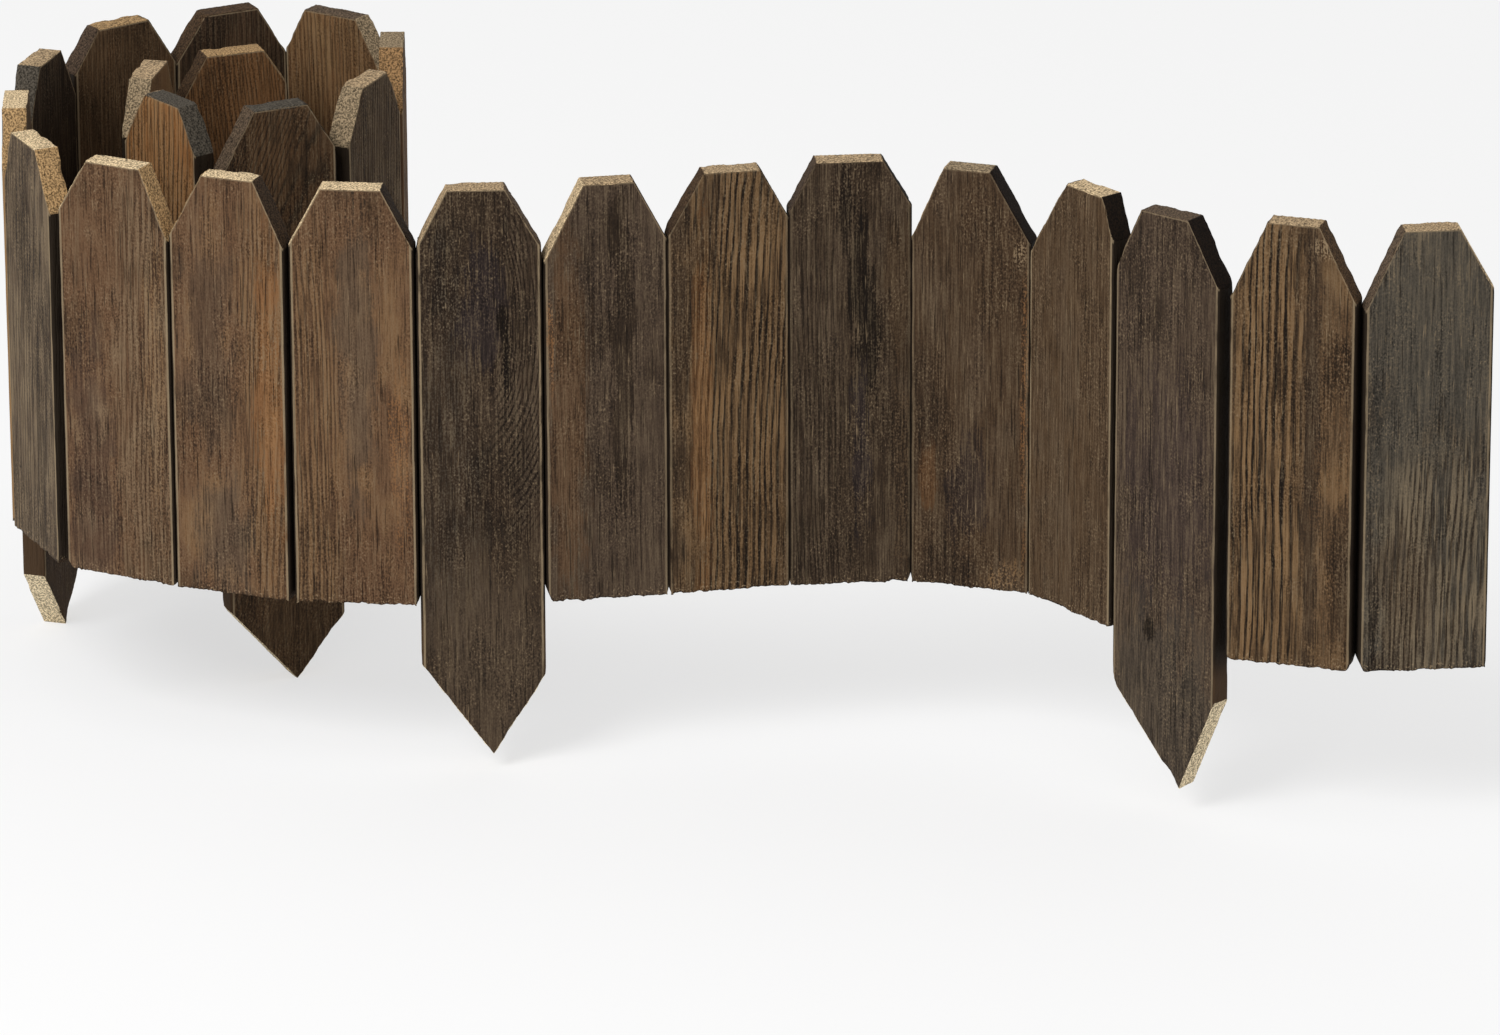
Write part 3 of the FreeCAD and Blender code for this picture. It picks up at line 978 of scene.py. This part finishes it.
def make_board(board):
    """Saw, carve and colour one board, and put it in its place."""
    look = LOOKS[board.number]
    piece = saw_board(board)
    sawn_faces = [face.index for face in piece.data.polygons if is_sawn(face)]
    spots = spots_of(piece)
    rings = carve_board(piece, board, look)
    keep(piece, "spot", "FLOAT_VECTOR", spots)
    keep(piece, "ring", "FLOAT", rings)
    piece.data.materials.append(charred_wood(board, look))
    piece.data.materials.append(sawn_ends(board, look))
    for index in sawn_faces:
        piece.data.polygons[index].material_index = 1
    place_board(piece, board)
    bpy.ops.object.shade_smooth_by_angle(angle=math.radians(SMOOTH_BELOW))
    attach(piece, "root")
    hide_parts(board.name)
    return piece


pieces = [make_board(board) for board in boards]
triangles = sum(len(face.vertices) - 2 for piece in pieces for face in piece.data.polygons)
print(len(pieces), "boards,", triangles, "triangles")

# %% [markdown]
# The wires run straight behind each board and bend softly in each gap. A line is drawn through the
# places between the boards, its corners are rounded by bevelling them as points, and a round section
# follows it.

# %% Wires
WIRE_RADIUS = 0.9
WIRE_SEAT = 0.2
WIRE_END = 12
BEND = 5
BLOOM = 4
ZINC = (0.42, 0.43, 0.43, 1)
DULL_ZINC = (0.25, 0.25, 0.24, 1)


def line_piece(name, points):
    """Straight edges through points, as a piece with no faces yet."""
    mesh = bpy.data.meshes.new(name)
    mesh.from_pydata(points, [(index, index + 1) for index in range(len(points) - 1)], [])
    piece = bpy.data.objects.new(name, mesh)
    scene.collection.objects.link(piece)
    bpy.ops.object.select_all(action="DESELECT")
    piece.select_set(True)
    bpy.context.view_layer.objects.active = piece
    return piece


def round_corners(offset, segments):
    """Round the corners of the active line."""
    bpy.ops.object.mode_set(mode="EDIT")
    bpy.ops.mesh.select_all(action="SELECT")
    bpy.ops.mesh.bevel(offset=offset * MM, segments=segments, affect="VERTICES")
    bpy.ops.object.mode_set(mode="OBJECT")


def as_rod(radius, fineness):
    """Give the active line a round section with closed ends, and make it a mesh again."""
    bpy.ops.object.convert(target="CURVE")
    rod = bpy.context.object
    rod.data.bevel_depth = radius * MM
    rod.data.bevel_resolution = fineness
    rod.data.use_fill_caps = True
    bpy.ops.object.convert(target="MESH")
    return bpy.context.object


def wire_points(height):
    """The two ends of a wire, and between them a corner halfway through each gap."""
    standoff = (WIRE_RADIUS + WIRE_SEAT) * MM
    rise = Vector((0, 0, height))
    lines = [(board.middle - board.outward * standoff + rise, board.along) for board in boards]
    reach = (boards[-1].right - WIRE_END) * MM
    points = [lines[0][0] - lines[0][1] * reach]
    for (start, first), (end, second) in zip(lines, lines[1:]):
        across = end - start
        after_start = start + first * across.dot(first) / 2
        before_end = end - second * across.dot(second) / 2
        points.append((after_start + before_end) / 2)
    points.append(lines[-1][0] + lines[-1][1] * reach)
    return points


galvanised, tree = new_material("galvanised_wire")
place = tree.node("ShaderNodeTexCoord", None, None, "Object")
bloom = place.cloud(BLOOM * MM, BLOOM * MM, 4)
colour = tree.node("ShaderNodeRGB")
colour.source.default_value = ZINC
colour = colour.tinted(bloom.rise(0.4, 0.65), DULL_ZINC)
surface(tree, colour, 0.42 + bloom * 0.25, 0.5, height=bloom, relief=0.1 * MM, metallic=0.85)

for level in ("upper", "lower"):
    low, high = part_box(f"{level}_wire")
    line_piece(f"{level}_wire_rod", wire_points((low.z + high.z) / 2))
    round_corners(BEND, 4)
    wire = as_rod(WIRE_RADIUS, 2)
    wire.data.materials.append(galvanised)
    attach(wire, "root")
    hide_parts(f"{level}_wire")
    print(wire.name, len(wire.data.polygons), "faces")

# %% [markdown]
# Two staples hold each wire to each board. One is bent from the same kind of wire and driven over it, so
# it is a line with rounded corners and a round section too. It is made once and copied, and the copies
# over one wire are joined.

# %% Staples
STAPLE_RADIUS = 0.6
STAPLE_ROOM = 0.3
STAPLE_BITE = 1.2
STAPLE_BEND = 1.1
STAPLE_PLACES = (-26.5, 26.5)


def make_staple():
    """A staple at the origin, over a wire along x, with its legs in the wood in front of y = 0."""
    reach = WIRE_RADIUS + STAPLE_ROOM + STAPLE_RADIUS
    crown = WIRE_SEAT + WIRE_RADIUS + reach
    corners = ((0, -STAPLE_BITE, -reach), (0, crown, -reach), (0, crown, reach), (0, -STAPLE_BITE, reach))
    line_piece("staple", [Vector(corner) * MM for corner in corners])
    round_corners(STAPLE_BEND, 3)
    return as_rod(STAPLE_RADIUS, 1)


def copy_to(piece, board, x, height):
    """A copy of a piece on the back of a board, with its own mesh."""
    copy = piece.copy()
    copy.data = piece.data.copy()
    scene.collection.objects.link(copy)
    place = board.middle + board.along * x * MM + Vector((0, 0, height))
    copy.matrix_world = Matrix.Translation(place) @ heading(board)
    return copy


for level in ("upper", "lower"):
    low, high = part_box(f"{level}_wire")
    staple = make_staple()
    copies = [copy_to(staple, board, x, (low.z + high.z) / 2) for board in boards for x in STAPLE_PLACES]
    bpy.data.objects.remove(staple)
    bpy.ops.object.select_all(action="DESELECT")
    for copy in copies:
        copy.select_set(True)
    bpy.context.view_layer.objects.active = copies[0]
    bpy.ops.object.join()
    bpy.ops.object.transform_apply(location=True, rotation=True)
    row = bpy.context.object
    row.name = f"{level}_round_staples"
    row.data.materials.append(galvanised)
    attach(row, "root")
    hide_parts(f"{level}_staples")
    print(row.name, len(copies), "staples,", len(row.data.polygons), "faces")
